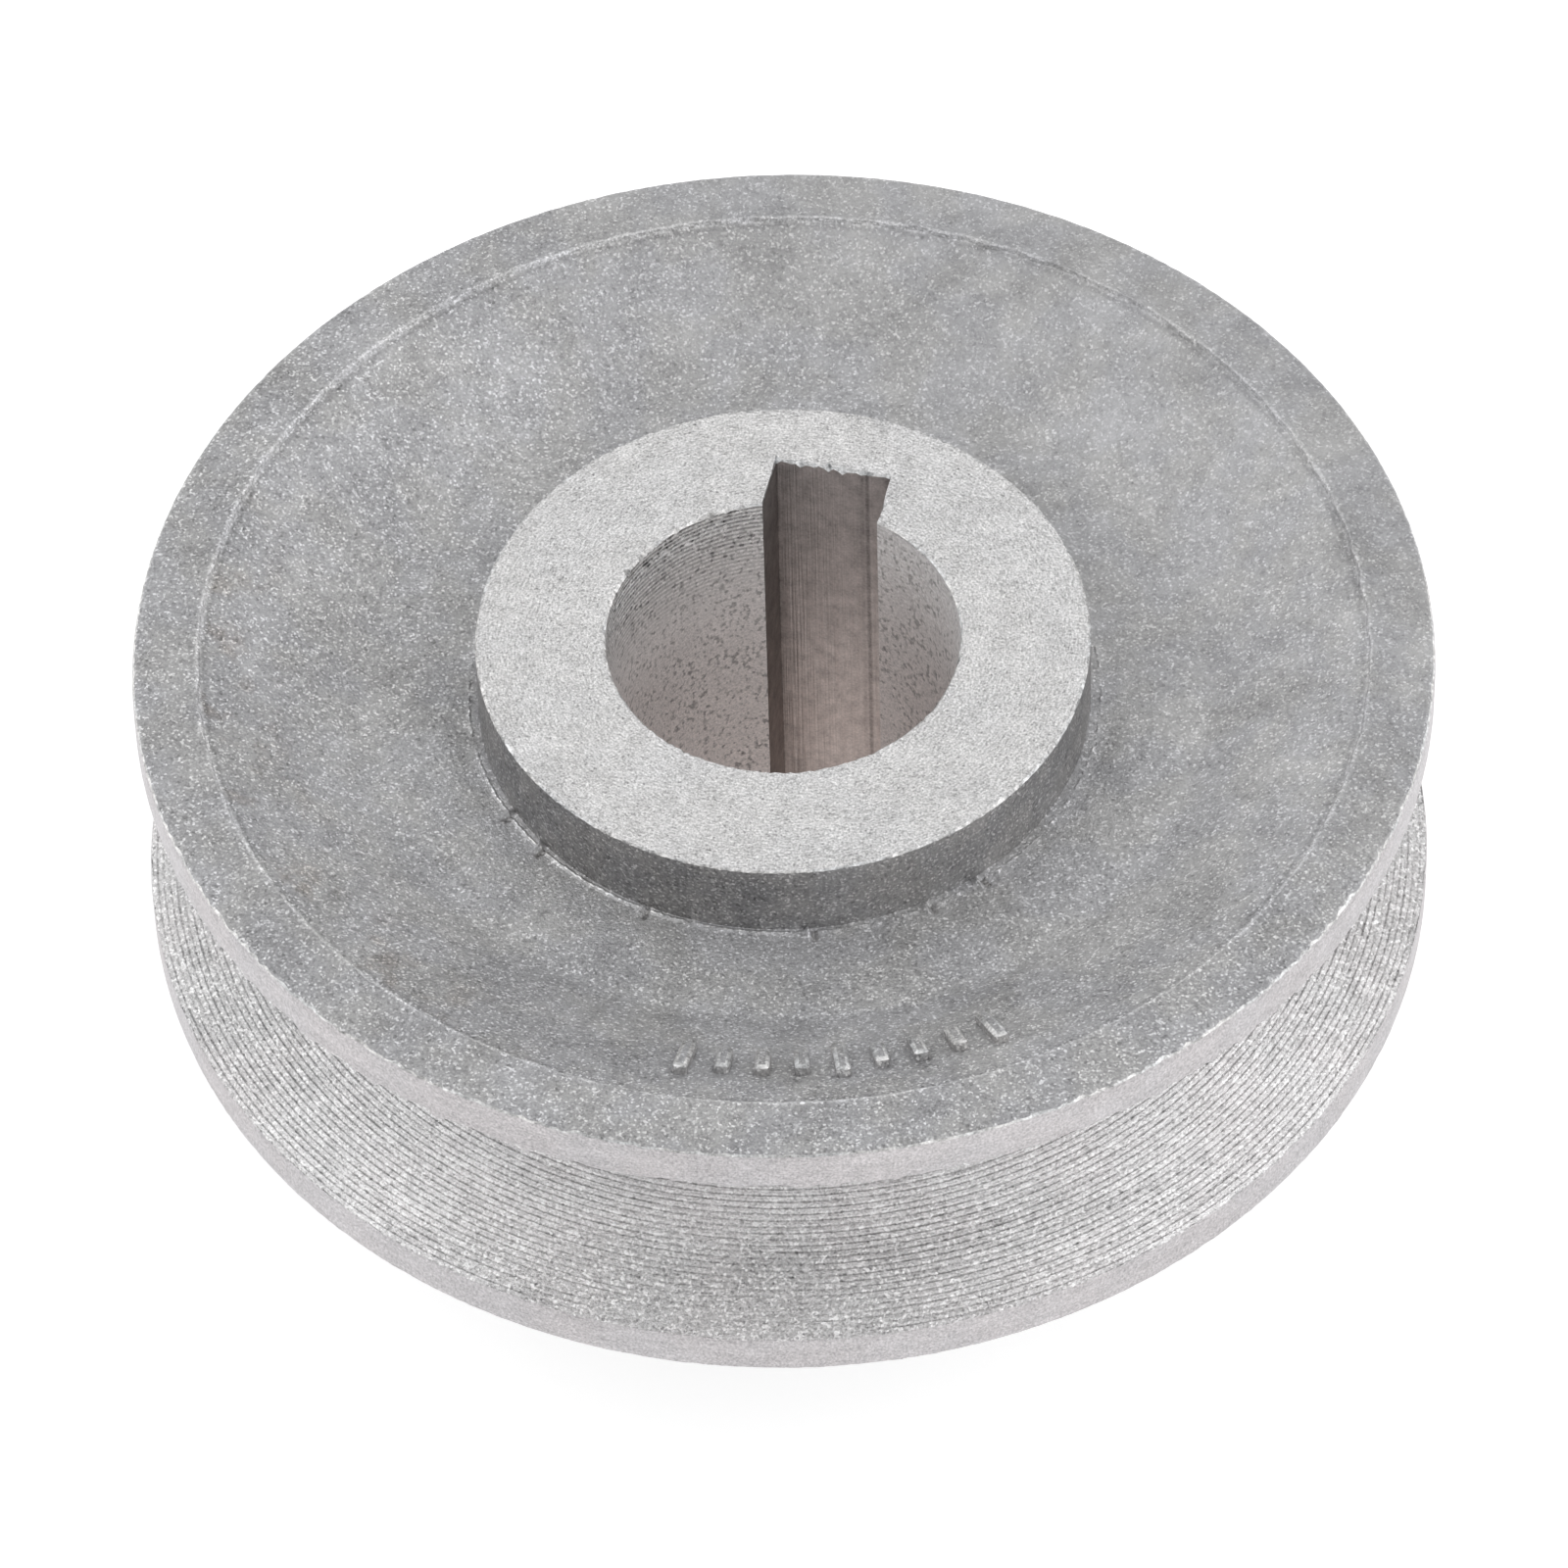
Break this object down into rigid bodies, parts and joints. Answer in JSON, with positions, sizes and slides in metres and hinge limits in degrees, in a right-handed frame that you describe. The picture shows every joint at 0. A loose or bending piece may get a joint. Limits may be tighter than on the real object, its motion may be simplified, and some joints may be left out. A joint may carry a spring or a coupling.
{
  "type": "v belt pulley",
  "caption": "Single-groove cast aluminium V-belt pulley with a dished web and a long hub, keyed bore, and a radial hub set screw.",
  "frame": {"origin": "centre of the hub's lower end face, on the pulley's axis", "axes": "+Z along the pulley's axis towards the side with the short hub boss, +Y through the middle of the keyway, +X out along the set screw"},
  "size_m": [0.055, 0.055, 0.025],
  "materials": {
    "cast_aluminium": "matte as-cast web, bright machined land, rim, groove, hub face and bore",
    "blackened_steel": "black oxide"
  },
  "bodies": {
    "pulley": {"pulley_casting": "cast_aluminium"},
    "screw": {"set_screw": "blackened_steel"}
  },
  "joints": [
    {"name": "set_screw_travel", "type": "slide", "parent": "pulley", "child": "screw", "axis": [1, 0, 0], "range_m": [0, 0.003]}
  ]
}
